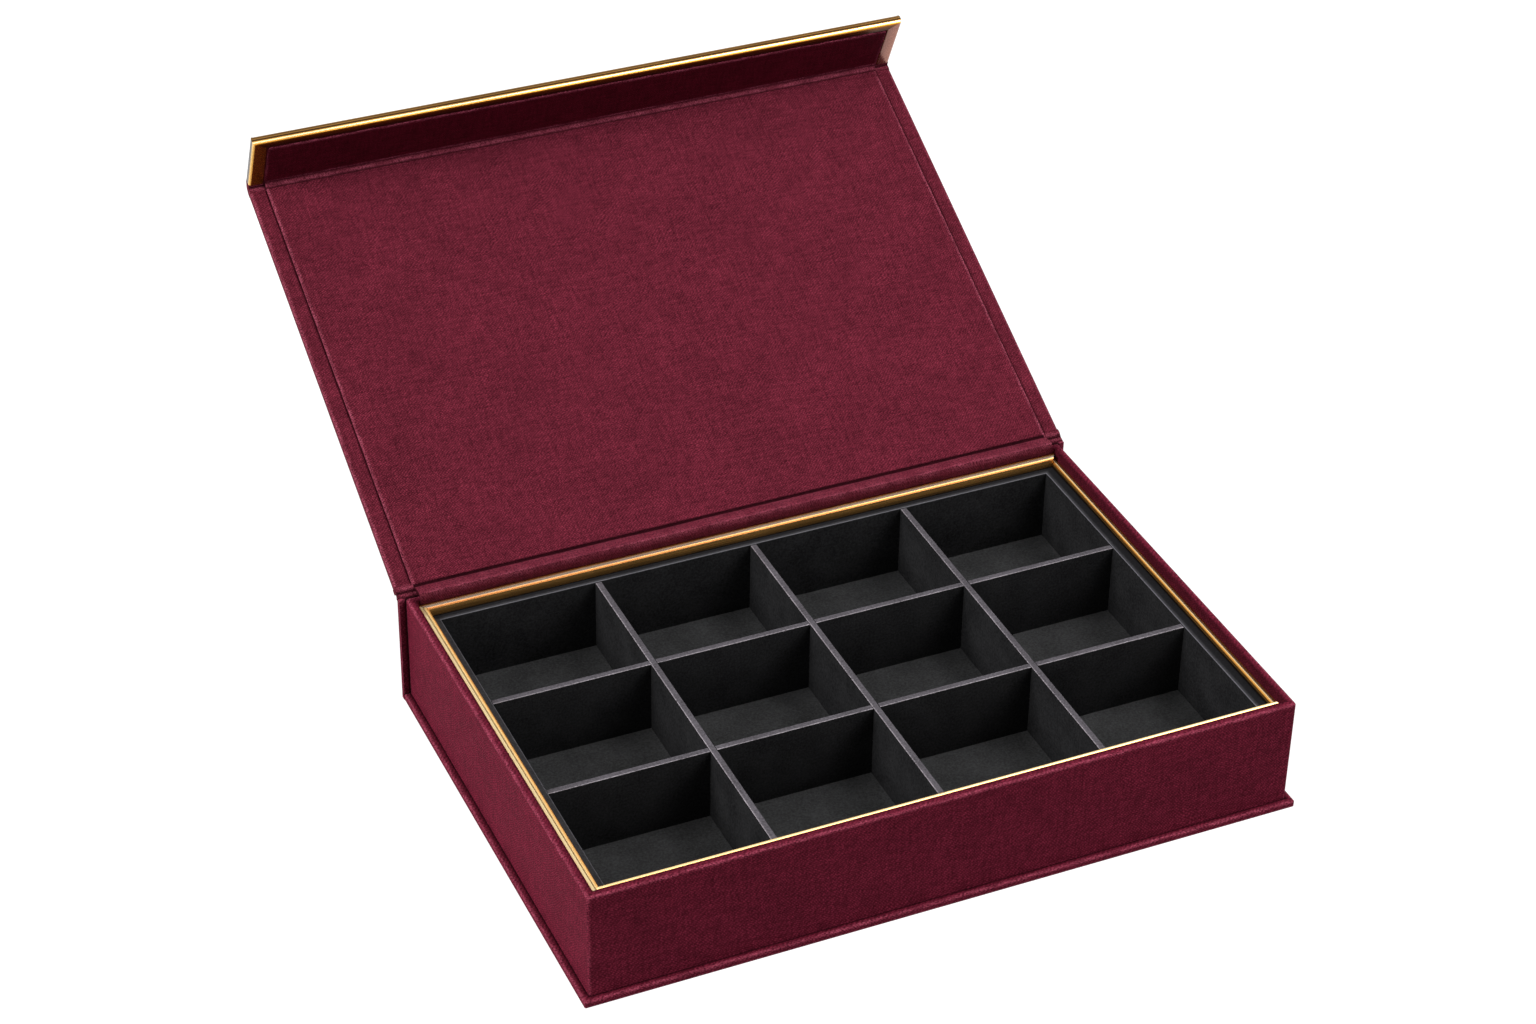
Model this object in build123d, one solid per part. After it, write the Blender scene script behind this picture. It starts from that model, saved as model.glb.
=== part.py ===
from build123d import *
import os
from math import cos, radians, sin, sqrt

# A book-style rigid box for chocolates, made of greyboard wrapped in book cloth.
# The case is a base board, a spine board, a lid board and a front flap board, joined by cloth
# hinges. A tray with four walls is glued on the base board and against the spine. Inside it a
# brass frame lies on the rim of a folded card insert, whose crossed dividers make the cells.
# Magnets in the flap meet steel plates in the front wall when the box is shut.
#
# Frame: the origin is the centre of the base's underside, +Z is up, +Y runs to the spine and +X
# to the right as seen from the front. Lengths are in millimetres, angles in degrees.

# Driving sizes
tray_width = 220.0
tray_depth = 148.0
tray_height = 35.0
lid_open_angle = 153.0
flap_fold_angle = 88.0
closed_fold_angle = 90.0
flap_length = 23.0
cells_across = 4
cells_deep = 3

# Board and cloth
board_thickness = 1.8
cloth_thickness = 0.3
cloth_edge_radius = 0.55
tray_corner_radius = 0.8
turn_in_width = 15.0
hinge_turn_in_width = 5.0
tray_turn_in_depth = 18.0
tray_underside_turn_in = 12.0
crease_gap = 0.6
lining_thickness = 0.2

# Brass frame in the tray
frame_recess = 1.4
frame_width = 3.0
frame_height = 3.1
frame_right_width = 1.9
frame_right_height = 1.5
frame_bead_radius = 0.75
frame_ledge_drop = 0.35

# Card insert and its dividers
card_thickness = 0.8
insert_floor_thickness = 4.4
insert_clearance = 0.4
rim_width = 2.8
rim_edge_radius = 0.3
divider_thickness = 2.0
divider_clearance = 0.1
divider_drop = 0.2
divider_edge_radius = 0.2

# Lid, flap and their hinges
lid_liner_thickness = 0.7
lid_liner_inset = 5.4
liner_edge_radius = 0.25
lid_seat_gap = 0.3
lid_hinge_margin = 0.8
lid_liner_hinge_gap = 1.5
flap_hinge_margin = 0.8
flap_liner_thickness = 0.6
flap_liner_gap = 0.4
flap_liner_corner_radius = 1.2
flap_wall_gap = 0.4
hinge_corner_leg = 2.0
hinge_corner_hollow = 1.45
hinge_liner_thickness = 0.4
hinge_liner_rise = 1.8
hinge_liner_proud = 0.55
hinge_liner_bend_radius = 0.6
hinge_seat = 0.15
hinge_cloth_bend_radius = 0.4
hinge_cloth_seat = 1.6

# Brass edging of the flap
edging_thickness = 0.4
edging_side_return = 4.6
edging_long_return = 3.0
edging_corner_radius = 0.9
edging_hinge_gap = 1.6

# Magnets and catch plates
magnet_diameter = 10.0
magnet_thickness = 1.4
plate_thickness = 1.2
magnet_spacing = 120.0
magnet_drop = 12.0

# Every cutter runs past what it cuts by this much
overrun = 5.0

# Levels and lines worked out from the sizes above
covered_board = board_thickness + 2 * cloth_thickness
half_width = tray_width / 2
half_depth = tray_depth / 2
overhang = board_thickness + cloth_thickness
case_half_width = half_width + overhang
base_top = covered_board
wall_top = base_top + tray_height
wall_line = cloth_thickness + board_thickness
wall_inside = covered_board
tray_floor_bottom = base_top + cloth_thickness
tray_floor_top = tray_floor_bottom + board_thickness
insert_bottom = tray_floor_top + lining_thickness
frame_top = wall_top - frame_recess
rim_top = frame_top - frame_height
cell_floor = insert_bottom + insert_floor_thickness
insert_line = wall_inside + insert_clearance
opening_line = wall_inside + frame_width + rim_width
spine_back = half_depth + overhang
lid_inner_face = wall_top + lid_seat_gap + lid_liner_thickness
lid_axis = (spine_back, lid_inner_face)
flap_axis = (-half_depth - flap_wall_gap - flap_liner_thickness, lid_inner_face)
flap_end = lid_inner_face - flap_length
flap_hinge_start = flap_hinge_margin - hinge_seat


def block(x, y, z):
    """A rectangular solid between a low and a high value on each axis."""
    spans = (x, y, z)
    middle = [(low + high) / 2 for low, high in spans]
    size = [high - low for low, high in spans]
    return Pos(*middle) * Box(*size)


def across(half):
    """The span from minus to plus a half width."""
    return (-half, half)


def along_x(section, half_length):
    """A section drawn as (y, z) and drawn out along X, both ways from the middle."""
    return extrude(Plane.YZ * section, amount=half_length, both=True)


def rounded_prism(inset, bottom, top, radius=0):
    """An upright prism on the tray's outline, moved inwards by an inset."""
    width = tray_width - 2 * inset
    depth = tray_depth - 2 * inset
    outline = RectangleRounded(width, depth, radius) if radius else Rectangle(width, depth)
    return Pos(0, 0, bottom) * extrude(outline, amount=top - bottom)


def covering(x, y, z, window):
    """Cloth round one board: a rounded skin, open where no cloth is turned in."""
    skin = block(x, y, z)
    skin = fillet(skin.edges(), cloth_edge_radius)
    inside = [(low + cloth_thickness, high - cloth_thickness) for low, high in (x, y, z)]
    return skin - block(*inside) - window


def mitred_rail(section, outer_length, runs):
    """A section drawn as (inwards, up), drawn out along X and mitred at both ends.

    runs says how far its left and its right end recede for each step inwards, so 1 is a
    mitre of 45 degrees.
    """
    half = outer_length / 2
    rail = along_x(section, half)
    right = Plane(origin=(half, 0, 0), z_dir=(1, runs[1], 0))
    left = Plane(origin=(-half, 0, 0), z_dir=(-1, runs[0], 0))
    return split(split(rail, bisect_by=right, keep=Keep.BOTTOM), bisect_by=left, keep=Keep.BOTTOM)


def on_sides(section, inset, bottom, right_section=None, run=1):
    """Four mitred rails round the tray, with their outer faces at an inset from its outline.

    The right rail may have a section of its own. The front and back rails then recede by run
    for each step inwards where they meet it.
    """
    width = tray_width - 2 * inset
    depth = tray_depth - 2 * inset
    sides = {
        "front": (0, width, depth, section, (1, run)),
        "right": (90, depth, width, right_section or section, (1 / run, 1 / run)),
        "back": (180, width, depth, section, (run, 1)),
        "left": (270, depth, width, section, (1, 1)),
    }
    rails = {}
    for side, (turn, length, span, outline, runs) in sides.items():
        rail = mitred_rail(outline, length, runs)
        rails[side] = Rot(0, 0, turn) * Pos(0, -span / 2, bottom) * rail
    return rails


def swing_lid(shape):
    """Turn a shape that is drawn on the shut lid to where the open lid stands."""
    return shape.rotate(Axis((0, *lid_axis), (1, 0, 0)), -lid_open_angle)


def swing_flap(shape):
    """Turn a shape that is drawn on the shut flap to where it stands on the open lid."""
    opened = shape.rotate(Axis((0, *flap_axis), (1, 0, 0)), flap_fold_angle - closed_fold_angle)
    return swing_lid(opened)


def bent_strip(points, radius, thickness, half_length):
    """A strip whose visible face follows bent points (y, z), with its thickness to their right."""
    face_line = FilletPolyline(*points, radius=radius)
    outline = offset(face_line, amount=thickness, side=Side.RIGHT)
    return along_x(make_face(outline), half_length)


def disc(x, y, z, thickness):
    """A disc that lies against a wall: its back is at y and its axis runs along Y."""
    drum = Cylinder(magnet_diameter / 2, thickness, align=(Align.CENTER, Align.CENTER, Align.MIN))
    return Pos(x, y, z) * Rot(-90, 0, 0) * drum


def base_parts():
    """The base board and its cloth, which is turned in over its front and side margins."""
    front = -half_depth - overhang
    crease = half_depth - crease_gap
    board = block(
        across(case_half_width - cloth_thickness),
        (front + cloth_thickness, crease),
        (cloth_thickness, wall_line),
    )
    skin = block(across(case_half_width), (front, half_depth + overrun), (0, base_top))
    skin = fillet(skin.edges(), cloth_edge_radius)
    bare_width = across(half_width - tray_underside_turn_in)
    bare_depth = (-half_depth + tray_underside_turn_in, half_depth + overrun)
    window = block(bare_width, bare_depth, (wall_line, base_top + overrun))
    rear = block(
        across(case_half_width + overrun),
        (crease, half_depth + 2 * overrun),
        (-overrun, base_top + overrun),
    )
    return {"base_board": board, "base_cloth": skin - rear - board - window}


def spine_parts():
    """The spine board behind the tray, and its cloth, turned in where it stands past the tray."""
    board = block(
        across(case_half_width - cloth_thickness),
        (half_depth, half_depth + board_thickness),
        (cloth_thickness, wall_top - cloth_thickness),
    )
    turn_in = half_depth - cloth_thickness
    skin = block(across(case_half_width), (turn_in, spine_back), (0, wall_top))
    skin = fillet(skin.edges().group_by(Axis.Y)[-1], cloth_edge_radius)
    tray_space = block(across(half_width), (turn_in - overrun, half_depth), (0, wall_top + overrun))
    base_space = block(
        across(case_half_width + overrun),
        (turn_in - overrun, half_depth),
        (-overrun, base_top),
    )
    return {"spine_board": board, "spine_cloth": skin - board - tray_space - base_space}


def tray_parts():
    """The tray's floor, its four wall boards and the cloth that wraps the walls."""
    floor_half_width = half_width - wall_line
    floor_half_depth = half_depth - wall_line
    walls_z = (tray_floor_bottom, wall_top - cloth_thickness)
    outer_half_width = half_width - cloth_thickness
    outer_half_depth = half_depth - cloth_thickness
    wide = across(outer_half_width)
    deep = across(floor_half_depth)
    front_wall = block(wide, (-outer_half_depth, -floor_half_depth), walls_z)
    parts = {
        "tray_floor": block(
            across(floor_half_width), deep, (tray_floor_bottom, tray_floor_top)
        ),
        "tray_floor_lining": block(
            across(floor_half_width), deep, (tray_floor_top, insert_bottom)
        ),
        "tray_wall_back": block(wide, (floor_half_depth, outer_half_depth), walls_z),
        "tray_wall_left": block((-outer_half_width, -floor_half_width), deep, walls_z),
        "tray_wall_right": block((floor_half_width, outer_half_width), deep, walls_z),
    }
    plate_height = lid_inner_face - magnet_drop
    for side, x in (("left", -magnet_spacing / 2), ("right", magnet_spacing / 2)):
        plate = disc(x, -outer_half_depth, plate_height, plate_thickness)
        parts[f"catch_plate_{side}"] = plate
        front_wall -= plate
    parts["tray_wall_front"] = front_wall
    skin = rounded_prism(0, base_top, wall_top, tray_corner_radius)
    skin = fillet(skin.edges().group_by(Axis.Z)[-1], cloth_edge_radius)
    wall_space = rounded_prism(cloth_thickness, *walls_z) - rounded_prism(wall_line, *walls_z)
    turn_in_end = wall_top - tray_turn_in_depth
    skin -= wall_space
    skin -= rounded_prism(wall_inside, tray_floor_bottom, wall_top + overrun)
    skin -= rounded_prism(wall_line, tray_floor_bottom, turn_in_end)
    skin -= rounded_prism(tray_underside_turn_in, base_top - overrun, wall_top)
    parts["tray_cloth"] = skin
    return parts


def beaded_moulding(width, height):
    """The section of a drawn brass moulding with a bead along its inner edge."""
    bead_middle = (width - frame_bead_radius, height - frame_bead_radius)
    ledge = height - frame_ledge_drop
    reach = sqrt(frame_bead_radius**2 - (ledge - bead_middle[1]) ** 2)
    bead_start = (bead_middle[0] - reach, ledge)
    bead_end = (width, bead_middle[1])
    outline = [
        Polyline(bead_end, (width, 0), (0, 0), (0, ledge), bead_start),
        ThreePointArc(bead_start, (bead_middle[0], height), bead_end),
    ]
    return make_face(outline)


def frame_parts():
    """The brass frame: four mitred lengths of moulding. The right one is slimmer and lower."""
    rails = on_sides(
        beaded_moulding(frame_width, frame_height), wall_inside, rim_top,
        beaded_moulding(frame_right_width, frame_right_height), frame_right_width / frame_width,
    )
    return {f"frame_{side}": rail for side, rail in rails.items()}


def insert_parts():
    """The card insert: a floor and four hollow walls, each folded over to make the flat rim."""
    wall_height = rim_top - cell_floor
    wall_width = opening_line - insert_line
    outside = Polyline((0, 0), (0, wall_height), (wall_width, wall_height), (wall_width, 0))
    inner_leg = wall_width - card_thickness
    inner_top = wall_height - card_thickness
    inside = Polyline(
        (wall_width, 0), (inner_leg, 0), (inner_leg, inner_top),
        (card_thickness, inner_top), (card_thickness, 0), (0, 0),
    )
    section = make_face([outside, inside])
    rim_corner = section.vertices().group_by(Axis.Y)[-1].sort_by(Axis.X)[-1]
    rails = on_sides(fillet(rim_corner, rim_edge_radius), insert_line, cell_floor)
    parts = {f"insert_wall_{side}": rail for side, rail in rails.items()}
    parts["insert_floor"] = rounded_prism(insert_line, insert_bottom, cell_floor)
    return parts


def slotted_board(length, slots, slots_open_upwards):
    """A divider along X with its top edges eased and half-height slots at the crossings."""
    height = rim_top - divider_drop - cell_floor
    board = Pos(0, 0, height / 2) * Box(length, divider_thickness, height)
    top_edges = board.edges().group_by(Axis.Z)[-1].filter_by(Axis.X)
    board = fillet(top_edges, divider_edge_radius)
    slot_half = divider_thickness / 2 + divider_clearance
    middle = height / 2
    open_end = (middle, height + overrun) if slots_open_upwards else (-overrun, middle)
    for x in slots:
        board -= block((x - slot_half, x + slot_half), across(overrun), open_end)
    return board


def crossings(span, cells):
    """Where the dividers stand across an open span that they share into equal cells."""
    cell = (span - (cells - 1) * divider_thickness) / cells
    pitch = cell + divider_thickness
    return [-span / 2 + number * pitch - divider_thickness / 2 for number in range(1, cells)]


def divider_parts():
    """The crossed dividers, halved into each other: the deep ones run unbroken along the top."""
    open_width = tray_width - 2 * opening_line
    open_depth = tray_depth - 2 * opening_line
    deep_places = crossings(open_width, cells_across)
    wide_places = crossings(open_depth, cells_deep)
    deep = slotted_board(open_depth - 2 * divider_clearance, wide_places, False)
    wide = slotted_board(open_width - 2 * divider_clearance, deep_places, True)
    parts = {}
    for number, x in enumerate(deep_places, start=1):
        parts[f"divider_deep_{number}"] = Pos(x, 0, cell_floor) * Rot(0, 0, 90) * deep
    for number, y in enumerate(wide_places, start=1):
        parts[f"divider_wide_{number}"] = Pos(0, y, cell_floor) * wide
    return parts


def lid_parts():
    """The lid board, its cloth and the raised liner panel inside, drawn shut and swung open."""
    x = across(case_half_width)
    y = (flap_axis[0] + flap_hinge_margin, lid_axis[0] - lid_hinge_margin)
    z = (lid_inner_face, lid_inner_face + covered_board)
    board = block(
        across(case_half_width - cloth_thickness),
        (y[0] + cloth_thickness, y[1] - cloth_thickness),
        (z[0] + cloth_thickness, z[1] - cloth_thickness),
    )
    window_x = across(case_half_width - turn_in_width)
    window_y = (y[0] + hinge_turn_in_width, y[1] - hinge_turn_in_width)
    window = block(window_x, window_y, (z[0] - overrun, z[0] + cloth_thickness))
    fill = block(window_x, window_y, (z[0], z[0] + cloth_thickness))
    liner = block(
        across(case_half_width - lid_liner_inset),
        (flap_axis[0] + hinge_corner_leg, lid_axis[0] - lid_liner_hinge_gap),
        (z[0] - lid_liner_thickness, z[0]),
    )
    liner = fillet(liner.edges().group_by(Axis.Z)[0], liner_edge_radius)
    parts = {"lid_board": board, "lid_cloth": covering(x, y, z, window), "lid_liner": liner + fill}
    return {name: swing_lid(shape) for name, shape in parts.items()}


def channel(edge_return):
    """The section of a folded brass channel, drawn as (in from the edge, across the flap)."""
    depth = covered_board + 2 * edging_thickness
    inner_radius = edging_corner_radius - edging_thickness
    inner_return = edge_return - edging_thickness
    outside = RectangleRounded(2 * edge_return, depth, edging_corner_radius)
    inside = RectangleRounded(2 * inner_return, covered_board, inner_radius)
    near_half = Pos(-edge_return / 2, 0) * Rectangle(edge_return, depth)
    return Pos(edge_return, 0) * ((outside - inside) & near_half)


def edging_parts():
    """The brass edging on the flap's three free edges, mitred where the lengths meet."""
    middle = flap_axis[0] - covered_board / 2
    mitre = Plane(
        origin=(case_half_width, middle, flap_end),
        z_dir=(edging_long_return, 0, edging_side_return),
    )
    long_section = Pos(middle, flap_end) * Rot(0, 0, 90) * channel(edging_long_return)
    right_half = split(along_x(long_section, case_half_width), bisect_by=mitre, keep=Keep.BOTTOM)
    long_edge = right_half & mirror(right_half, about=Plane.YZ)
    side_section = Pos(case_half_width, middle) * Rot(0, 0, 180) * channel(edging_side_return)
    side_length = flap_length - edging_hinge_gap
    side = Pos(0, 0, flap_end) * extrude(side_section, amount=side_length)
    side = split(side, bisect_by=mitre, keep=Keep.TOP)
    return {
        "flap_edging_long": long_edge,
        "flap_edging_right": side,
        "flap_edging_left": mirror(side, about=Plane.YZ),
    }


def flap_liner():
    """The raised panel inside the flap, with its two free corners rounded."""
    half = case_half_width - edging_side_return - flap_liner_gap
    low = flap_end + edging_long_return + flap_liner_gap
    high = lid_inner_face - hinge_corner_leg
    panel = block(across(half), (flap_axis[0], flap_axis[0] + flap_liner_thickness), (low, high))
    corners = panel.edges().filter_by(Axis.Y).group_by(Axis.Z)[0]
    panel = fillet(corners, flap_liner_corner_radius)
    return fillet(panel.faces().sort_by(Axis.Y)[-1].edges(), liner_edge_radius)


def flap_parts():
    """The flap board with its two magnets, its cloth, liner and edging, drawn shut and swung."""
    x = across(case_half_width - edging_thickness)
    y = (flap_axis[0] - covered_board, flap_axis[0])
    z = (flap_end + edging_thickness, lid_inner_face - flap_hinge_margin)
    board = block(
        (x[0] + cloth_thickness, x[1] - cloth_thickness),
        (y[0] + cloth_thickness, y[1] - cloth_thickness),
        (z[0] + cloth_thickness, z[1] - cloth_thickness),
    )
    window_x = across(case_half_width - turn_in_width)
    window_z = (z[0] + hinge_turn_in_width, z[1] - hinge_turn_in_width)
    window = block(window_x, (y[1] - cloth_thickness, y[1] + overrun), window_z)
    fill = block(window_x, (y[1] - cloth_thickness, y[1]), window_z)
    parts = {"flap_cloth": covering(x, y, z, window), "flap_liner": flap_liner() + fill}
    magnet_back = y[1] - cloth_thickness - magnet_thickness
    magnet_height = lid_inner_face - magnet_drop
    for side, place in (("left", -magnet_spacing / 2), ("right", magnet_spacing / 2)):
        magnet = disc(place, magnet_back, magnet_height, magnet_thickness)
        parts[f"magnet_{side}"] = magnet
        board -= magnet
    parts["flap_board"] = board
    parts |= edging_parts()
    return {name: swing_flap(shape) for name, shape in parts.items()}


def from_axis(axis, along, direction, off, normal):
    """A point (y, z) at a distance along one direction and off it along another."""
    return (
        axis[0] + along * direction[0] + off * normal[0],
        axis[1] + along * direction[1] + off * normal[1],
    )


def lid_hinge_parts():
    """The cloth hinge at the spine: cloth from the spine's top to the lid, and the liner over it."""
    angle = radians(lid_open_angle)
    up_lid = (-cos(angle), sin(angle))
    inwards = (-sin(angle), -cos(angle))
    liner_face = half_depth - wall_inside - hinge_liner_thickness
    liner = bent_strip(
        [
            (liner_face, frame_top - frame_ledge_drop + hinge_seat),
            (liner_face, wall_top + hinge_liner_rise),
            from_axis(
                lid_axis, lid_liner_hinge_gap - hinge_seat, up_lid, hinge_liner_proud, inwards
            ),
        ],
        hinge_liner_bend_radius, hinge_liner_thickness, case_half_width - lid_liner_inset,
    )
    cloth = bent_strip(
        [
            from_axis(lid_axis, lid_hinge_margin - hinge_seat, up_lid, 0, inwards),
            (spine_back - hinge_seat, wall_top),
            (spine_back - hinge_cloth_seat, wall_top),
        ],
        hinge_cloth_bend_radius, cloth_thickness, case_half_width,
    )
    return {"lid_hinge_liner": liner, "lid_hinge_cloth": cloth}


def flap_hinge_parts():
    """The cloth hinge between lid and flap, drawn on the shut lid and swung open with it."""
    angle = radians(flap_fold_angle)
    along_lid = (1, 0)
    out_of_lid = (0, 1)
    along_flap = (-cos(angle), -sin(angle))
    out_of_flap = (-sin(angle), cos(angle))
    corner = (-sin(angle / 2), cos(angle / 2))
    cloth = bent_strip(
        [
            from_axis(flap_axis, flap_hinge_start, along_flap, covered_board, out_of_flap),
            from_axis(flap_axis, covered_board / cos(angle / 2), corner, 0, corner),
            from_axis(flap_axis, flap_hinge_margin, along_lid, covered_board, out_of_lid),
        ],
        covered_board, cloth_thickness, case_half_width,
    )
    leg = hinge_corner_leg - hinge_seat
    liner = bent_strip(
        [
            from_axis(flap_axis, leg, along_lid, -hinge_liner_proud, out_of_lid),
            from_axis(flap_axis, -hinge_corner_hollow, corner, 0, corner),
            from_axis(flap_axis, leg, along_flap, -hinge_liner_proud, out_of_flap),
        ],
        hinge_liner_bend_radius, cloth_thickness, case_half_width - lid_liner_inset,
    )
    return {"flap_hinge_cloth": swing_lid(cloth), "flap_hinge_liner": swing_lid(liner)}


def shapes():
    """Every node of the box."""
    parts = base_parts() | spine_parts() | tray_parts() | frame_parts() | insert_parts()
    parts |= divider_parts() | lid_parts() | flap_parts() | lid_hinge_parts() | flap_hinge_parts()
    return parts


if __name__ == "__main__":
    os.makedirs("parts", exist_ok=True)
    for name, shape in shapes().items():
        export_step(shape, f"parts/{name}.step")
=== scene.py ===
# %% [markdown]
# # A book-style chocolate box in burgundy book cloth
# The imported CAD model is the fixed frame: every board, rail and divider is already at its real
# size and place, in metres. This script gives each surface its finish, remodels the strips of
# cloth that bend, and sets up the camera and the light.

# %% Load the frame
import bmesh
import bpy
from math import cos, radians, sin
from mathutils import Matrix, Vector, noise


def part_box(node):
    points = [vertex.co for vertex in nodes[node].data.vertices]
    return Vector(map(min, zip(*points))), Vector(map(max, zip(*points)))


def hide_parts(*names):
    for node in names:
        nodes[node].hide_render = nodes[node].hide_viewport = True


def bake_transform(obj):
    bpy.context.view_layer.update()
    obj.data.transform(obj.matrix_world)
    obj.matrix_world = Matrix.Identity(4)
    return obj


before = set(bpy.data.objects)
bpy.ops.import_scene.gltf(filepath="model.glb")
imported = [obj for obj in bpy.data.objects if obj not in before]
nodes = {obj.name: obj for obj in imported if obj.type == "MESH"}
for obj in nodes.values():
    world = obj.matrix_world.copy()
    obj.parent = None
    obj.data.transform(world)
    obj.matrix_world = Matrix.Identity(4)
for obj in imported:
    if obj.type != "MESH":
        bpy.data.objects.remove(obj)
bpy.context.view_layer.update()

print("CAD nodes:", len(nodes))

# %% [markdown]
# ## Camera
# The photograph was taken from the front left and above, with a long lens, so the box's sides
# hardly converge. A camera can be placed by eye, or worked out from corners whose real places
# are known. Here it was worked out once from the corners of tray, lid and flap, and only the
# result is kept: the place of the lens, the direction it looks in, and its focal length.

# %% Place the camera
MM = 0.001
PICTURE_WIDTH = 1536  # pixels
SENSOR_WIDTH = 36.0  # mm
LENS_PLACE = Vector((-366.4, -747.6, 659.0)) * MM
LOOK_DIRECTION = Vector((0.34198, 0.74944, -0.56691))
RIGHT_DIRECTION = Vector((0.91401, -0.40539, 0.01545))
FOCAL_PIXELS = 3532.5  # the focal length, measured in pixels of the picture
NEAREST = 0.05  # m, nothing nearer to the lens is drawn

camera_data = bpy.data.cameras.new("camera")
camera_data.sensor_width = SENSOR_WIDTH
camera_data.lens = FOCAL_PIXELS * SENSOR_WIDTH / PICTURE_WIDTH
camera_data.clip_start = NEAREST
camera = bpy.data.objects.new("camera", camera_data)
bpy.context.scene.collection.objects.link(camera)
up_direction = RIGHT_DIRECTION.cross(LOOK_DIRECTION)
turn = Matrix((RIGHT_DIRECTION, up_direction, -LOOK_DIRECTION)).transposed()
camera.matrix_world = Matrix.Translation(LENS_PLACE) @ turn.to_4x4()
bpy.context.scene.camera = camera
print("camera lens:", round(camera_data.lens, 1), "mm")

# %% [markdown]
# ## Small helpers for materials
# Colours are written as the hex values that a picture program shows. A renderer works with
# linear light, so one function turns them over, along the standard sRGB curve. One more
# function adds a node to a material, sets it up and links it, which keeps each material short
# enough to read from top to bottom. An input is named, or numbered where that is shorter: a
# Map Range node's 0 is the value, 1 and 2 are where it starts and ends, and 3 and 4 are what
# it becomes there. A Mix node's 0 is the share, and 6 and 7 are the two colours.

# %% Helpers for colours and nodes
def linear(hex_colour):
    """The linear colour, with full alpha, of a hex value such as 5E1F31."""
    shares = [int(hex_colour[place:place + 2], 16) / 255 for place in (0, 2, 4)]
    return [s / 12.92 if s <= 0.04045 else ((s + 0.055) / 1.055) ** 2.4 for s in shares] + [1.0]


def feed(node, inputs):
    """Sets a node's inputs to values, or links them to sockets or to nodes' first outputs."""
    for place, value in inputs.items():
        if isinstance(value, bpy.types.Node):
            value = value.outputs[0]
        if isinstance(value, bpy.types.NodeSocket):
            node.id_data.links.new(value, node.inputs[place])
        else:
            node.inputs[place].default_value = value


def add_node(tree, kind, inputs=None, **settings):
    """Adds a node with its settings, and feeds its inputs."""
    node = tree.nodes.new(kind)
    for name, value in settings.items():
        setattr(node, name, value)
    feed(node, inputs or {})
    return node


def new_material(name):
    """An empty material, the tree to build on, and its surface shader."""
    material = bpy.data.materials.new(name)
    material.use_nodes = True
    tree = material.node_tree
    return material, tree, tree.nodes["Principled BSDF"]


def finish_with(material, *names):
    """Gives a material to pieces, CAD nodes or new ones, by name."""
    for name in names:
        piece = nodes.get(name) or bpy.data.objects[name]
        piece.data.materials.clear()
        piece.data.materials.append(material)
    print(material.name, "on", len(names), "pieces")


def piece_from(build, name):
    """The object that holds a finished bmesh, linked into the scene at the origin."""
    mesh = bpy.data.meshes.new(name)
    build.to_mesh(mesh)
    build.free()
    piece = bpy.data.objects.new(name, mesh)
    bpy.context.scene.collection.objects.link(piece)
    return piece


# %% [markdown]
# ## Floor
# The photograph is a product shot on pure white paper, on which the box leaves only a soft
# contact shadow. More light would bleach the paper, but the box too. So the paper is a middle
# grey that glows for the camera, and for reflections, and the light stays made for the box.

# %% Floor
FLOOR_SIZE = 6.0  # m
FLOOR_GLOW = 0.92  # how bright the paper is to the camera, where 1 is white
CLOUD_SIZE = 0.025  # m, of the faint clouds in the paper
PAPER_SHADES = ("7C7C7C", "828282")

floor_build = bmesh.new()
bmesh.ops.create_grid(floor_build, x_segments=1, y_segments=1, size=FLOOR_SIZE / 2)
floor = piece_from(floor_build, "floor")

# White seamless paper: matte, slightly uneven, and lit up for camera and reflections alone.
paper_floor, tree, shader = new_material("white_seamless_paper")
place = add_node(tree, "ShaderNodeTexCoord")
fibres = add_node(
    tree, "ShaderNodeTexNoise", {"Vector": place.outputs["Object"], "Scale": 1 / CLOUD_SIZE}
)
dark, pale = (linear(shade) for shade in PAPER_SHADES)
tint = add_node(
    tree, "ShaderNodeMix", {0: fibres.outputs["Fac"], 6: dark, 7: pale}, data_type="RGBA"
)
rays = add_node(tree, "ShaderNodeLightPath")
seen = add_node(
    tree, "ShaderNodeMath",
    {0: rays.outputs["Is Camera Ray"], 1: rays.outputs["Is Glossy Ray"]}, operation="MAXIMUM",
)
glow = add_node(tree, "ShaderNodeMath", {0: seen, 1: FLOOR_GLOW}, operation="MULTIPLY")
feed(shader, {
    "Base Color": tint.outputs[2], "Roughness": 0.9, "Specular IOR Level": 0.2,
    "Emission Color": linear("FFFFFF"), "Emission Strength": glow,
})
finish_with(paper_floor, "floor")

# %% [markdown]
# ## Background and lamps
# The background is white to the camera in the same way, and gives the box only a little light
# from above. The rest comes from square area lamps, which make soft shadows: a large window far
# to the left, a softbox above on the right and a weak one in front. So the left wall is the
# brightest, the lid pales a little towards the tray, the front wall is darker, and the flap's
# inner face, which looks down and to the front, falls into shadow. A weak lamp behind shows the
# spine when the box is turned round.

# %% World and lamps
WORLD_TOP = 0.05  # strength of the light from straight above
WORLD_SIDE = 0.03  # and from the horizon
WORLD_FADE = (-0.1, 0.8)  # height of the direction, from 0 at the horizon to 1 overhead

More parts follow.
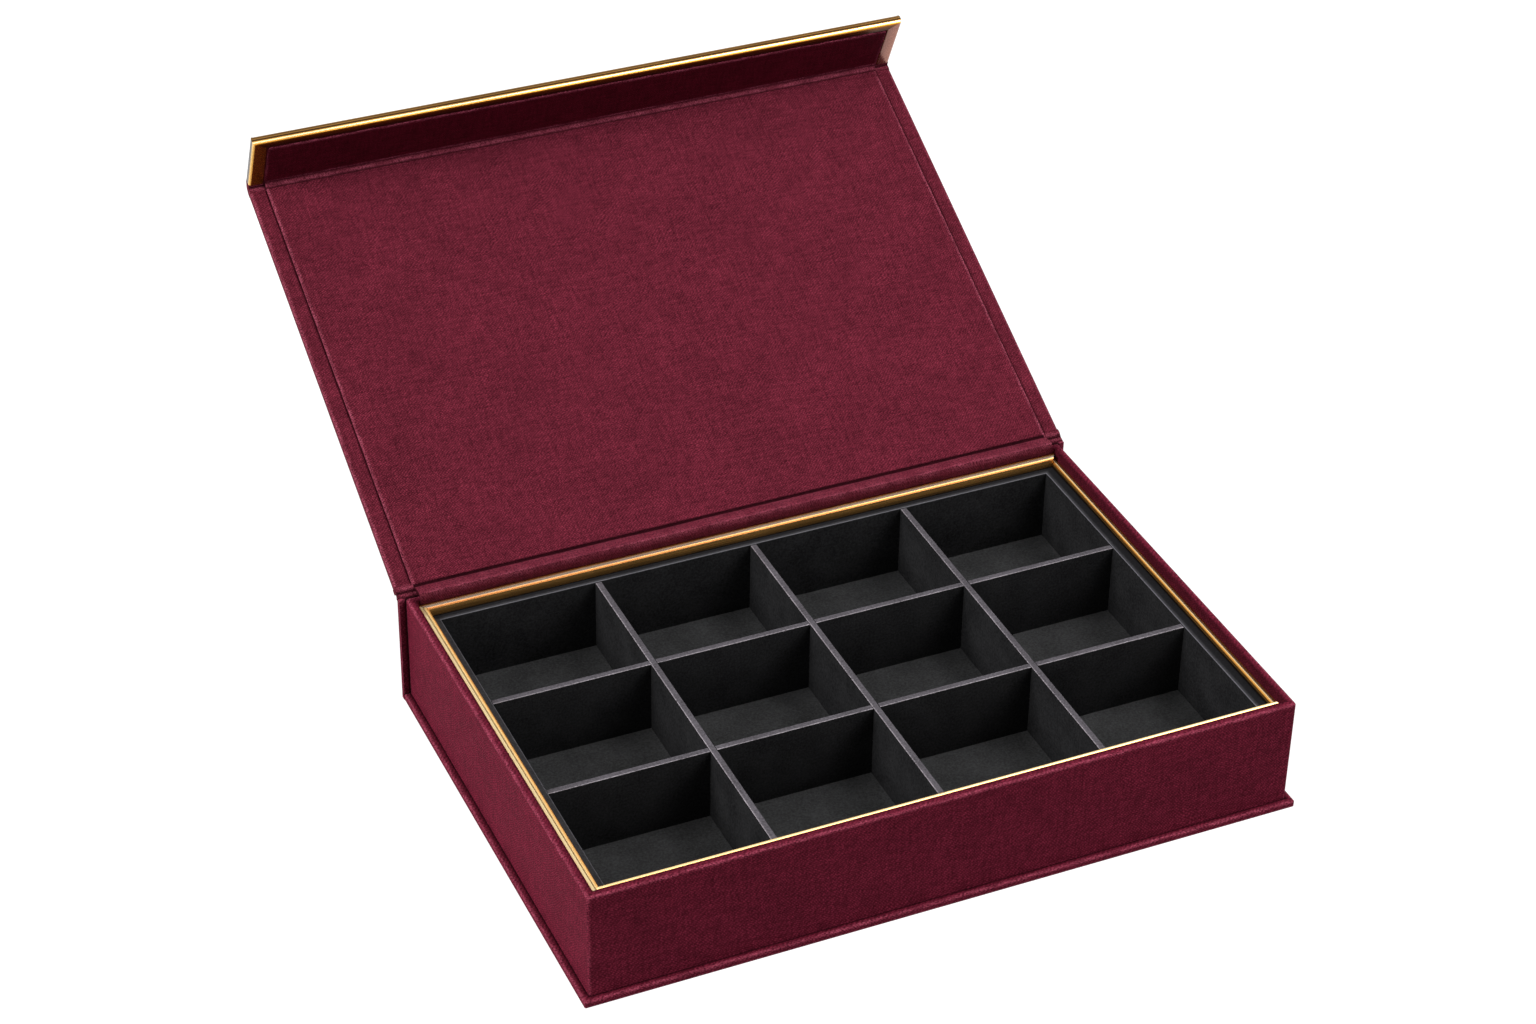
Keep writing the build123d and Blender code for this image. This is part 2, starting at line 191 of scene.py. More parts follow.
world = bpy.data.worlds.new("studio")
bpy.context.scene.world = world
world.use_nodes = True
tree = world.node_tree
tree.nodes.clear()
direction = add_node(tree, "ShaderNodeTexCoord").outputs["Generated"]
height = add_node(tree, "ShaderNodeSeparateXYZ", {0: direction})
brightness = add_node(
    tree, "ShaderNodeMapRange",
    {0: height.outputs["Z"], 1: WORLD_FADE[0], 2: WORLD_FADE[1], 3: WORLD_SIDE, 4: WORLD_TOP},
    interpolation_type="SMOOTHSTEP",
)
soft_light, white = (
    add_node(tree, "ShaderNodeBackground", {"Color": linear("FFFFFF"), "Strength": strength})
    for strength in (brightness, 1.0)
)
rays = add_node(tree, "ShaderNodeLightPath")
seen = rays.outputs["Is Camera Ray"]
for ray in ("Is Glossy Ray", "Is Transmission Ray"):
    seen = add_node(tree, "ShaderNodeMath", {0: seen, 1: rays.outputs[ray]}, operation="MAXIMUM")
mixed = add_node(tree, "ShaderNodeMixShader", {0: seen, 1: soft_light, 2: white})
add_node(tree, "ShaderNodeOutputWorld", {"Surface": mixed})

LAMPS = {
    # name: (place in m, aimed at in m, side in m, watts)
    "window_left": ((-2.0, 0.0, 1.2), (0, 0, 0.03), 1.2, 64.0),
    "softbox_above": ((0.7, -0.3, 1.0), (0, 0.05, 0.05), 0.8, 12.5),
    "front_fill": ((0.8, -1.5, 0.5), (0, 0, 0.05), 0.8, 9.5),
    "rear_fill": ((-0.4, 1.8, 0.5), (0, 0.1, 0.05), 0.8, 9.0),
}
for name, (lamp_place, aim, side, watts) in LAMPS.items():
    lamp_data = bpy.data.lights.new(name, "AREA")
    lamp_data.shape = "SQUARE"
    lamp_data.size = side
    lamp_data.energy = watts
    lamp = bpy.data.objects.new(name, lamp_data)
    lamp.location = lamp_place
    lamp.rotation_euler = (Vector(aim) - Vector(lamp_place)).to_track_quat("-Z", "Y").to_euler()
    bpy.context.scene.collection.objects.link(lamp)
bpy.context.scene.view_settings.view_transform = "Standard"
print("lamps:", len(LAMPS))

# %% [markdown]
# ## Book cloth
# The boards are wrapped in a burgundy book cloth: a fine cotton weave whose threads show as
# rows of small bright grains, crossed by slubs, which are thicker stretches of yarn, under a
# soft bloom of loose fibre. It could be drawn as crossed waves, but the real grain is a little
# irregular and flows. So small cells are used instead, squeezed into short slanting dashes and
# bent by a slow noise, and finer noises add slubs, tufts and the mottled dye. Every size is a
# real one in millimetres, on a flat picture of the cloth.

# %% The weave, shared by every piece of cloth
NOISE_MIDDLE = (0.5, 0.5, 0.5)
BURGUNDY = ("300914", "782A3A", "AC5468")  # between stitches, on a stitch, rubbed edge
GRAIN_HEIGHT = 0.11  # mm, how far the ribs stand up
GRAIN_JITTER = 0.28  # how far the stitches stray from even rows
STITCH_FADE = (0.1, 0.58)  # from a stitch's middle, where it starts and ends to fade
STITCH_SPREAD = 0.2  # how much one stitch differs from the next in brightness
EVEN_THREAD = 0.6  # brightness, between gap and stitch, of cloth whose stitches don't show
FLOW_REACH = 1.6  # mm, how far the rows of grain bend
SLUB_SIZE = (7.0, 1.1)  # mm, length and thickness
PATTERNS = {
    # pattern: (size in mm, how many finer layers it has, how strong they are)
    "flow": (14.0, 2.0, 0.5),  # bends the rows of grain
    "tufts": (0.6, 3.0, 0.6),  # loose fibre
    "mottle": (22.0, 4.0, 0.5),  # slow changes of the dye
    "patches": (6.0, 2.0, 0.5),  # stretches that are rubbed more or less
}
MOTTLE_DEPTH = 0.07  # how much paler or darker the dye is in places
SLUB_DEPTH = 0.24  # and a slub
TUFT_DEPTH = 0.36  # and a tuft of loose fibre
TUFT_RELIEF = 0.5  # how far a tuft stands up, beside a stitch
STITCH_RUBBED = 0.35  # how much a stitch is rubbed, beside a tuft
RAGGED = (0.5, 0.9)  # how much the two stand out where the rubbing starts and is full
RUB_LEAST = 0.05  # share of the rubbing where neither stands out
PATCH_FADE = (0.35, 0.65)  # where the rubbed stretches start and are full
PATCH_LEAST = 0.35  # share of the rubbing where a stretch was touched least


def weave(tree, shader, flat, rubbed, shadow, rib, shades=BURGUNDY):
    """Woven cotton, dyed and starched: matte, with a faint bloom at grazing angles.

    flat is the place on the cloth in mm, rubbed how far the dye is worn off, and shadow how
    much of the colour is left under painted shade in a crease or the tray's hollow, both from 0
    to 1. rib holds the ribs' lean in degrees, the length of one stitch of a rib and the distance
    between ribs, in mm, and how strongly they show. The real threads are finer than a pixel, so
    the stitches are drawn about twice as large.
    """
    lean, stitch, pitch, strength = rib
    pattern = {
        name: add_node(
            tree, "ShaderNodeTexNoise",
            {"Vector": flat, "Scale": 1 / size, "Detail": layers, "Roughness": depth},
            noise_dimensions="2D",
        ).outputs
        for name, (size, layers, depth) in PATTERNS.items()
    }
    tufts = pattern["tufts"]["Fac"]

    # Rows of stitches, bent by the flow and turned to the ribs' lean.
    bend = add_node(
        tree, "ShaderNodeVectorMath", {0: pattern["flow"]["Color"], 1: NOISE_MIDDLE},
        operation="SUBTRACT",
    )
    bend = add_node(
        tree, "ShaderNodeVectorMath", {0: bend, "Scale": 2 * FLOW_REACH}, operation="SCALE"
    )
    woven = add_node(tree, "ShaderNodeVectorMath", {0: flat, 1: bend}, operation="ADD")
    woven = add_node(
        tree, "ShaderNodeMapping",
        {"Vector": woven, "Rotation": (0, 0, radians(lean)), "Scale": (stitch, pitch, 1.0)},
        vector_type="TEXTURE",
    )
    grain = add_node(
        tree, "ShaderNodeTexVoronoi",
        {"Vector": woven, "Scale": 1.0, "Randomness": GRAIN_JITTER},
        voronoi_dimensions="2D", feature="F1",
    )
    thread = add_node(
        tree, "ShaderNodeMapRange",
        {0: grain.outputs["Distance"], 1: STITCH_FADE[0], 2: STITCH_FADE[1], 3: 1.0, 4: 0.0},
        interpolation_type="SMOOTHSTEP",
    )
    stitch_shade = add_node(
        tree, "ShaderNodeMapRange",
        {0: add_node(tree, "ShaderNodeSeparateXYZ", {0: grain.outputs["Color"]}),
         3: 1.0 - STITCH_SPREAD, 4: 1.0 + STITCH_SPREAD},
    )
    lit_thread = add_node(
        tree, "ShaderNodeMath", {0: thread, 1: stitch_shade}, operation="MULTIPLY"
    )
    lit_thread = add_node(
        tree, "ShaderNodeMapRange",
        {0: lit_thread, 3: EVEN_THREAD * (1 - strength),
         4: EVEN_THREAD + (1 - EVEN_THREAD) * strength},
        clamp=False,
    )

    # Slubs of both yarns, each a noise that is stretched along its yarn.
    slubs = [
        add_node(
            tree, "ShaderNodeTexNoise",
            {"Vector": add_node(
                tree, "ShaderNodeMapping", {"Vector": flat, "Scale": (*size, 1.0)},
                vector_type="TEXTURE",
            ), "Scale": 1.0, "Detail": 2.5},
            noise_dimensions="2D",
        ).outputs["Fac"]
        for size in (SLUB_SIZE, SLUB_SIZE[::-1])
    ]
    slubs = add_node(tree, "ShaderNodeMath", {0: slubs[0], 1: slubs[1]}, operation="ADD")
    # Mottle, slubs and tufts make the dye paler and darker, one on top of the other.
    shade = None
    for level, middle, reach, depth in (
        (pattern["mottle"]["Fac"], 0.5, 0.2, MOTTLE_DEPTH),
        (slubs, 1.0, 0.3, SLUB_DEPTH),
        (tufts, 0.5, 0.2, TUFT_DEPTH),
    ):
        change = add_node(
            tree, "ShaderNodeMapRange",
            {0: level, 1: middle - reach, 2: middle + reach, 3: 1 - depth, 4: 1 + depth},
        )
        shade = change if shade is None else add_node(
            tree, "ShaderNodeMath", {0: shade, 1: change}, operation="MULTIPLY"
        )

    # Rubbing takes the dye off the stitches and tufts that stand out, in uneven stretches.
    ragged = add_node(
        tree, "ShaderNodeMath", {0: lit_thread, 1: STITCH_RUBBED, 2: tufts},
        operation="MULTIPLY_ADD",
    )
    ragged = add_node(
        tree, "ShaderNodeMapRange", {0: ragged, 1: RAGGED[0], 2: RAGGED[1], 3: RUB_LEAST, 4: 1.0}
    )
    patches = add_node(
        tree, "ShaderNodeMapRange",
        {0: pattern["patches"]["Fac"], 1: PATCH_FADE[0], 2: PATCH_FADE[1],
         3: PATCH_LEAST, 4: 1.0},
    )
    ragged = add_node(tree, "ShaderNodeMath", {0: ragged, 1: patches}, operation="MULTIPLY")
    rubbed = add_node(tree, "ShaderNodeMath", {0: ragged, 1: rubbed}, operation="MULTIPLY")

    dark, body, pale = (linear(shade_name) for shade_name in shades)
    colour = add_node(
        tree, "ShaderNodeMix", {0: lit_thread, 6: dark, 7: body},
        data_type="RGBA", clamp_factor=False,
    ).outputs[2]
    colour = add_node(tree, "ShaderNodeVectorMath", {0: colour, "Scale": shade}, operation="SCALE")
    colour = add_node(
        tree, "ShaderNodeMix", {0: rubbed, 6: colour, 7: pale}, data_type="RGBA"
    ).outputs[2]
    # Painted shade: the colour is scaled down where shadow is below 1.
    colour = add_node(tree, "ShaderNodeVectorMath", {0: colour, "Scale": shadow}, operation="SCALE")

    relief = add_node(
        tree, "ShaderNodeMath", {0: tufts, 1: TUFT_RELIEF, 2: thread}, operation="MULTIPLY_ADD"
    )
    bump = add_node(
        tree, "ShaderNodeBump",
        {"Height": relief, "Strength": 0.8, "Distance": GRAIN_HEIGHT * MM},
    )
    feed(shader, {
        "Base Color": colour, "Normal": bump, "Roughness": 0.72, "Specular IOR Level": 0.02,
        "Sheen Weight": 0.02, "Sheen Roughness": 0.45, "Sheen Tint": linear("D04868"),
    })


# %% [markdown]
# ## Cloth that is pulled over a board
# Wherever the cloth is pulled over an edge of board, fingers have rubbed off the dye, so edges
# are pinkish and paler, while the creases beside a glued-on piece get painted shade, a darker
# colour where the shade falls. This could be painted by hand on a texture, but a wrapped board
# is close to a plain box, so here the distance to the box's edges says it all. These helpers
# find a place in such a box, which is swung with the lid or the flap, and its distance to an
# outline or to the faces.

# %% Find the place on a wrapped board
SQUARELY = 0.7  # how much of a face's direction lies along an axis, where it looks that way


def in_mm(tree, coords, centre=(0, 0, 0), turn=0):
    """The place in mm from a centre, along the sides of a box swung turn degrees about X."""
    return add_node(
        tree, "ShaderNodeMapping",
        {"Vector": coords.outputs["Object"], "Location": centre,
         "Rotation": (radians(turn), 0, 0), "Scale": (MM, MM, MM)},
        vector_type="TEXTURE",
    )


def facing_of(tree, coords, turn):
    """The direction that the surface faces, along the sides of that same box."""
    return add_node(
        tree, "ShaderNodeMapping",
        {"Vector": coords.outputs["Normal"], "Rotation": (radians(turn), 0, 0)},
        vector_type="TEXTURE",
    )


def outside_of(tree, place, half):
    """How far in mm a place lies outside an upright outline with these half sizes."""
    inwards = add_node(tree, "ShaderNodeVectorMath", {0: place}, operation="ABSOLUTE")
    beyond = add_node(tree, "ShaderNodeVectorMath", {0: inwards, 1: half}, operation="SUBTRACT")
    beyond = add_node(tree, "ShaderNodeSeparateXYZ", {0: beyond})
    return add_node(
        tree, "ShaderNodeMath", {0: beyond.outputs[0], 1: beyond.outputs[1]}, operation="MAXIMUM"
    )


def under_faces(tree, place, half):
    """How deep in mm a place lies under each pair of faces of a box."""
    inwards = add_node(tree, "ShaderNodeVectorMath", {0: place}, operation="ABSOLUTE")
    reach = add_node(tree, "ShaderNodeVectorMath", {0: half, 1: inwards}, operation="SUBTRACT")
    return add_node(tree, "ShaderNodeSeparateXYZ", {0: reach}).outputs


# %% [markdown]
# ## Rubbed edges and painted shade in creases
# With the distances at hand, wear is a short sum: full rubbing within a fraction of a
# millimetre of a level edge, less along the upright corners, and none further in. A crease gets
# painted shade, a dark band round the outline of what stands on the cloth, and the cloth that
# goes over into the tray's hollow gets painted shade in the same way.

# %% Cloth on a board
WEAR_NEAR = 0.2  # mm from an edge, inside which the dye is rubbed most
WEAR_FAR = 1.2  # mm from an edge, where the rubbing ends
CORNER_WEAR = 0.45  # how much of that an upright corner of the box has
# The crease and the hollow below are painted shade: the colour is scaled down where shade falls.
CREASE_SHADE_WIDTH = 1.0  # mm, width of the dark crease beside a glued-on piece
CREASE_SHADE_LEFT = 0.12  # share of the colour left at the bottom of a crease
HOLLOW_SHADE_WIDTH = 0.5  # mm, over which the light fades into the tray's hollow
HOLLOW_SHADE_LEFT = 0.45  # share of the colour left inside it


def book_cloth(name, box, turn, rib, crease=None, inside=None, shades=BURGUNDY):
    """Book cloth on a board, with rubbed edges.

    box is the wrapped piece's centre in m and its half sizes in mm. turn is how far that box
    is swung about X, in degrees.
    crease holds the half sizes in mm of what stands on the cloth and the way to it, for the
    painted shade round it, and inside those of the hollow whose shaded walls the cloth lines,
    for the painted shade there.
    """
    centre, half = box
    material, tree, shader = new_material(name)
    coords = add_node(tree, "ShaderNodeTexCoord")
    local = in_mm(tree, coords, centre, turn)
    facing = add_node(
        tree, "ShaderNodeVectorMath", {0: facing_of(tree, coords, turn)}, operation="ABSOLUTE"
    )
    side = add_node(tree, "ShaderNodeSeparateXYZ", {0: facing})
    spot = add_node(tree, "ShaderNodeSeparateXYZ", {0: local})

    # Each face is drawn flat: on the sides that look along X the cloth runs along Y and Z.
    looks_x, looks_z = (
        add_node(
            tree, "ShaderNodeMath", {0: side.outputs[axis], 1: SQUARELY},
            operation="GREATER_THAN",
        )
        for axis in (0, 2)
    )
    across, up = (
        add_node(
            tree, "ShaderNodeMix", {0: looks, 2: spot.outputs[axis], 3: spot.outputs[1]},
            data_type="FLOAT",
        )
        for looks, axis in ((looks_x, 0), (looks_z, 2))
    )
    flat = add_node(tree, "ShaderNodeCombineXYZ", {0: across, 1: up})

    # A level edge is near where the spot lies under the top and under one upright face.
    reach = under_faces(tree, local, half)
    low, high = (
        add_node(tree, "ShaderNodeMath", {0: reach[0], 1: reach[1]}, operation=pick)
        for pick in ("MINIMUM", "MAXIMUM")
    )
    level_edge = add_node(tree, "ShaderNodeMath", {0: low, 1: reach[2]}, operation="MAXIMUM")
    wear = [
        add_node(
            tree, "ShaderNodeMapRange",
            {0: distance, 1: WEAR_NEAR, 2: WEAR_FAR, 3: most, 4: 0.0},
            interpolation_type="SMOOTHSTEP",
        )
        for distance, most in ((level_edge, 1.0), (high, CORNER_WEAR))
    ]
    rubbed = add_node(tree, "ShaderNodeMath", {0: wear[0], 1: wear[1]}, operation="MAXIMUM")

    # Painted shade: the colour is scaled down in creases and inside the tray's hollow.
    shadow = 1.0
    if crease:
        covered, towards = crease
        shadow = add_node(
            tree, "ShaderNodeMapRange",
            {0: outside_of(tree, local, covered), 1: 0.0, 2: CREASE_SHADE_WIDTH,
             3: CREASE_SHADE_LEFT, 4: 1.0},
            interpolation_type="SMOOTHSTEP",
        )
        # Only the side that the piece stands on gets the crease's painted shade.
        outer = add_node(
            tree, "ShaderNodeVectorMath", {0: local, 1: towards}, operation="DOT_PRODUCT"
        ).outputs["Value"]
        outer = add_node(tree, "ShaderNodeMath", {0: outer, 1: 0.0}, operation="LESS_THAN")
        shadow = add_node(tree, "ShaderNodeMath", {0: shadow, 1: outer}, operation="MAXIMUM")
    # Painted shade on the cloth that goes over into the tray's hollow.
    if inside:
        shadow = add_node(
            tree, "ShaderNodeMapRange",
            {0: outside_of(tree, local, inside), 1: 0.0, 2: HOLLOW_SHADE_WIDTH,
             3: HOLLOW_SHADE_LEFT, 4: 1.0},
        )
    weave(tree, shader, flat, rubbed, shadow, rib, shades)
    return material


# %% [markdown]
# ## Wrap the boards
# The ribs lean one way on the walls and another way on the lid, as the cloth was laid on in
# different directions, and the walls look a little deeper in colour. One material for all
# could not know which board it is on. So each board gets its own, with the board's box, its
# turn, its ribs and its shades from a short table.

# %% Wrap the boards
def centre_of(name):
    """The middle of a piece, in m, from its CAD box."""
    low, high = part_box(name)
    return tuple((low + high) / 2)


LID_TURN = -153.0  # degrees, from lying shut
FLAP_TURN = -155.0
COVER = 112.1  # mm, half the cover's width
TRAY_HALF = (110.0, 74.0)  # mm
HOLLOW_HALF = (107.9, 71.9)  # mm, inside the tray's walls
PANEL = 106.7  # mm, half the width of the lid's panel
PAST_END = 90.0  # mm, past every board's end, so that this side has no wear and no crease
BOARD_HALF = 1.2  # mm, half a wrapped board's thickness

# ribs: lean in degrees, length and distance of the stitches in mm, how strongly they show
WALL_RIBS = (-43, 1.1, 0.64, 0.45)
LID_RIBS = (50, 0.72, 0.6, 0.55)
FLAP_RIBS = (50, 0.72, 0.6, 0.4)
BAND_RIBS = (30, 0.6, 0.4, 0.45)
WALL_SHADES = ("300812", "782438", "AC4E64")
# The flap's panel gets a darker copy of the cloth's shades: painted shade, as it looks down.
SHADED_PANEL = ("28040A", "520F1E", "A04A60")  # the flap's panel, which looks down

# crease and inside give painted shade: round what stands on the cloth, and in the tray's hollow.
WRAPPED = {
    # piece: (board, centre in m, half sizes in mm, turn, ribs, what is special about it)
    "base_cloth": (
        "base", (0, 0, BOARD_HALF * MM), (COVER, 76.1, BOARD_HALF), 0, WALL_RIBS,
        {"crease": ((*TRAY_HALF, 0), (0, 0, 1)), "shades": WALL_SHADES}),
    "spine_cloth": (
        "spine", (0, 74.9 * MM, 18.7 * MM), (COVER, BOARD_HALF, 18.7), 0, WALL_RIBS,
        {"crease": ((TRAY_HALF[0], PAST_END, 0), (0, -1, 0)), "shades": WALL_SHADES}),
    "tray_cloth": (
        "tray", (0, 0, 0), (*TRAY_HALF, 37.4), 0, WALL_RIBS,
        {"inside": (*HOLLOW_HALF, 0), "shades": WALL_SHADES}),
    "lid_cloth": (
        "lid", centre_of("lid_cloth"), (COVER, 74.75, BOARD_HALF), LID_TURN, LID_RIBS,
        {"crease": ((PANEL, PAST_END, 0), (0, 0, -1))}),
    "flap_cloth": (
        "flap", centre_of("flap_cloth"), (111.7, BOARD_HALF, 10.9), FLAP_TURN, LID_RIBS, {}),
    "lid_liner": (
        "lid_panel", centre_of("lid_liner"), (PANEL, PAST_END, 0.5), LID_TURN, LID_RIBS, {}),
    "flap_liner": (
        "flap_panel", centre_of("flap_liner"), (107.1, 0.45, 8.8), FLAP_TURN, FLAP_RIBS,
        {"shades": SHADED_PANEL}),
}
for piece, (board, centre, half, board_turn, ribs, special) in WRAPPED.items():
    cloth = book_cloth(f"book_cloth_{board}", (centre, half), board_turn, ribs, **special)
    finish_with(cloth, piece)

# %% [markdown]
# ## Where the hinges are
# The lid and the flap swing on the cloth itself, which runs on from board to board. Its folds
# are easiest to draw in the section of the box, seen from the right: along the lid and out of
# it, along the flap and out of it, or straight in the tray. So three short functions turn such
# a point into the box's own millimetres, for the open box of the photograph.

# %% Where the hinges are
LID_AXIS = Vector((0, 76.1, 38.4))  # mm
LID_SLOPE = radians(27.0)  # the open lid's tilt above level
FLAP_FOLD = radians(88.0)
LID_LENGTH = 151.1  # mm, from the lid's hinge to the flap's
along_lid = Vector((0, cos(LID_SLOPE), sin(LID_SLOPE)))
out_of_lid = Vector((0, -sin(LID_SLOPE), cos(LID_SLOPE)))
FLAP_AXIS = LID_AXIS + LID_LENGTH * along_lid
along_flap = cos(FLAP_FOLD) * along_lid + sin(FLAP_FOLD) * out_of_lid
out_of_flap = -sin(FLAP_FOLD) * along_lid + cos(FLAP_FOLD) * out_of_lid


def on_lid(along, out):
    """A point of the lid's section, in mm from its hinge along its inner face and out of it."""
    return LID_AXIS + along * along_lid + out * out_of_lid


def on_flap(along, out):
    """A point of the flap's section, in mm from its fold."""
    return FLAP_AXIS + along * along_flap + out * out_of_flap


def at(y, z):
    """A point of the tray's section, in mm."""
    return Vector((0, y, z))


print("flap's fold at", [round(v, 1) for v in FLAP_AXIS], "mm")

# %% [markdown]
# ## A folded strip of cloth
# A cloth hinge belongs to neither side: near each board it moves with that board, and between
# them it bends. A rigid strip would tear away as the lid turns, and a simulated one would be
# far more work than four narrow strips need. So each one is drawn as the outline of a folded
# strip, rounded at its folds, pulled out along the hinge and made a little uneven as glued
# cloth is. It carries its own flat coordinates and its marks for rubbed folds and for the
# painted shade of its creases, so that its pattern stays with the cloth.

# %% A folded strip of cloth
WAVE_LENGTH = 17.0  # mm, of the slow waves that glue leaves along a hinge
WAVE_ACROSS = 8.0  # mm, and across it
WAVE_HEIGHT = 0.12  # mm
FOLD_STEPS = 4  # faces round one fold
SECTION_CUTS = 8  # cuts in each straight run of the outline
LENGTH_STEP = 1.5  # mm, about half the distance between two cuts along the hinge


def folded_strip(name, outline, half_width, fold, replaced):
    """A strip of cloth along a hinge, from the outline of its section.

    Each corner of the outline is a point with how much it is rubbed and how much painted shade
    its crease gets.
    """
    build = bmesh.new()
    marks = build.verts.layers.float_vector.new("cloth_marks")
    place = build.verts.layers.float_vector.new("cloth_place")
    ring = []
    # The third number of each point is the painted shade of its crease.
    for point, rubbed, crease_shade in outline:
        vert = build.verts.new((-half_width * MM, point.y * MM, point.z * MM))
        vert[marks] = (rubbed, crease_shade, 0)
        ring.append(vert)
    build.faces.new(ring)
    bmesh.ops.bevel(
        build, geom=ring, offset=fold * MM, offset_type="OFFSET", affect="VERTICES",
        segments=FOLD_STEPS, profile=0.5, material=-1, clamp_overlap=True,
    )
    bmesh.ops.subdivide_edges(build, edges=build.edges[:], cuts=SECTION_CUTS)
    build.faces.ensure_lookup_table()
    travelled = 0.0
    around = [loop.vert for loop in build.faces[0].loops]
    for before, vert in zip(around, around[1:]):
        travelled += (vert.co - before.co).length / MM
        vert[place] = (0, travelled, 0)
    grown = bmesh.ops.extrude_face_region(build, geom=build.faces[:])
    far_end = [part for part in grown["geom"] if isinstance(part, bmesh.types.BMVert)]
    bmesh.ops.translate(build, verts=far_end, vec=(2 * half_width * MM, 0, 0))
    long_edges = [
        edge for edge in build.edges
        if abs(edge.verts[0].co.x - edge.verts[1].co.x) > half_width * MM
    ]
    bmesh.ops.subdivide_edges(build, edges=long_edges, cuts=int(half_width / LENGTH_STEP))
    bmesh.ops.recalc_face_normals(build, faces=build.faces[:])
    for vert in build.verts:
        x, z = vert.co.x / MM, vert.co.z / MM
        vert[place] = (x, vert[place].y, 0)
        wave = noise.noise(Vector((x / WAVE_LENGTH, 0, z / WAVE_ACROSS)))
        vert.co += vert.normal * wave * WAVE_HEIGHT * MM
    for face in build.faces:
        face.smooth = abs(face.normal.x) < SQUARELY
    for edge in build.edges:
        edge.smooth = all(face.smooth for face in edge.link_faces)
    open_edges = sum(1 for edge in build.edges if not edge.is_manifold)
    strip = piece_from(build, name)
    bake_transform(strip)
    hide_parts(replaced)
    print(name, len(strip.data.polygons), "faces,", open_edges, "open edges")


# %% [markdown]
# ## The lid's hinge
# Two cloths are glued over each other here. Inside, a band climbs the tray's back wall, folds
# over its top and meets the lid's panel. Outside, the cover's own cloth runs from the spine
# into the gap and out again over the lid's rear edge. They could be one thick strip, but each
# shows a fold of its own in the photograph, so there are two outlines.

# %% The lid's hinge
# In each outline, the second number of a point is rubbing and the third painted shade.
folded_strip(
    "lid_hinge_band",
    [(at(71.6, 35.8), 0, 1), (at(71.2, 35.8), 0, 0.9), (at(71.2, 37.6), 0, 0.4),
     (at(71.3, 39.9), 0.9, 0), (at(72.1, 39.95), 0.4, 0), (at(75.5, 39.55), 0.3, 0),
     (at(76.3, 39.1), 0, 0.9),
     (on_lid(1.5, 0.35), 0, 1), (on_lid(1.5, 0.1), 0, 1), (at(76.0, 38.6), 0, 1),
     (at(72.2, 38.6), 0, 1), (at(71.6, 37.9), 0, 1)],
    106.3, 0.25,
    "lid_hinge_liner",
)
folded_strip(
    "lid_hinge_wrap",
    [(at(74.45, 37.45), 0, 0.8), (at(75.6, 37.75), 0.6, 0), (at(76.2, 38.1), 0, 1),
     (on_lid(1.0, 0.22), 0.7, 0), (on_lid(2.6, 0.12), 0, 0.3), (on_lid(2.6, -2.5), 0, 0),
     (on_lid(0.72, -2.56), 0.7, 0), (at(76.95, 37.6), 0, 1), (at(76.25, 37.2), 0.5, 0),
     (at(76.2, 36.0), 0, 0), (at(75.0, 36.4), 0, 0)],
    112.15, 0.35,
    "lid_hinge_cloth",
)

# %% [markdown]
# ## The flap's hinge
# The flap folds on two cloths as well: a narrow band between the two panels inside, and the
# cover's cloth round the outside of the fold. They are made in the same way.

# %% The flap's hinge
folded_strip(
    "flap_hinge_band",
    [(on_lid(149.1, 0.1), 0, 1), (on_lid(149.15, 0.4), 0, 0.9), (on_lid(149.9, 0.75), 0.8, 0),
     (on_flap(1.15, 0.85), 0.7, 0), (on_flap(1.95, 0.4), 0, 0.7), (on_flap(2.0, 0.1), 0, 1),
     (on_lid(150.9, 0.1), 0, 1)],
    106.9, 0.25,
    "flap_hinge_liner",
)
folded_strip(
    "flap_hinge_wrap",
    [(on_lid(148.9, -2.5), 0, 0), (on_lid(148.9, 0.12), 0, 0.3), (on_lid(150.2, 0.2), 0.6, 0),
     (on_lid(150.95, 0.12), 0, 1), (on_flap(0.75, 0.2), 0.6, 0), (on_flap(1.45, 0.12), 0, 0.5),
     (on_flap(1.45, -2.52), 0, 0), (on_flap(0.4, -2.5), 0.3, 0), (on_lid(152.6, -1.6), 0.6, 0),
     (on_lid(150.9, -2.5), 0.3, 0)],
    112.0, 0.3,
    "flap_hinge_cloth",
)

# %% [markdown]
# ## The cloth of the hinges
# The strips are of the same book cloth as the boards. A pattern on object coordinates would
# smear round their folds, so here the weave reads the flat place, the marks of wear and the
# painted shade of the creases that each strip carries in its mesh.

# %% The cloth of the hinges
def folded_cloth(name, rib):
    """Book cloth on a folded strip, which carries its own place, its marks of wear and its painted
    shade.
    """
    material, tree, shader = new_material(name)
    flat, marks = (
        add_node(tree, "ShaderNodeAttribute", attribute_name=attribute).outputs["Vector"]
        for attribute in ("cloth_place", "cloth_marks")
    )
    rubbed, crease_shade, _ = add_node(tree, "ShaderNodeSeparateXYZ", {0: marks}).outputs
    # Painted shade along the strip's creases.
    shadow = add_node(tree, "ShaderNodeMapRange", {0: crease_shade, 3: 1.0, 4: CREASE_SHADE_LEFT})
    weave(tree, shader, flat, rubbed, shadow, rib)
    return material


finish_with(folded_cloth("book_cloth_hinges", LID_RIBS), "lid_hinge_wrap", "flap_hinge_wrap")
finish_with(folded_cloth("book_cloth_bands", BAND_RIBS), "lid_hinge_band", "flap_hinge_band")

# %% [markdown]
# ## Drawn metal
# The frame round the insert and the edging of the flap are drawn brass strip, polished and
# lacquered: warm yellow metal with fine lines along its length, and a lacquer that is a little
# tarnished in places. A polished strip shows its studio in narrow bright and dark bands. Those
# would need that very studio round the box, so here they are painted reflections and painted
# shade: bands in the strip's colour, in millimetres across it, on a metal that still reflects
# what there is.

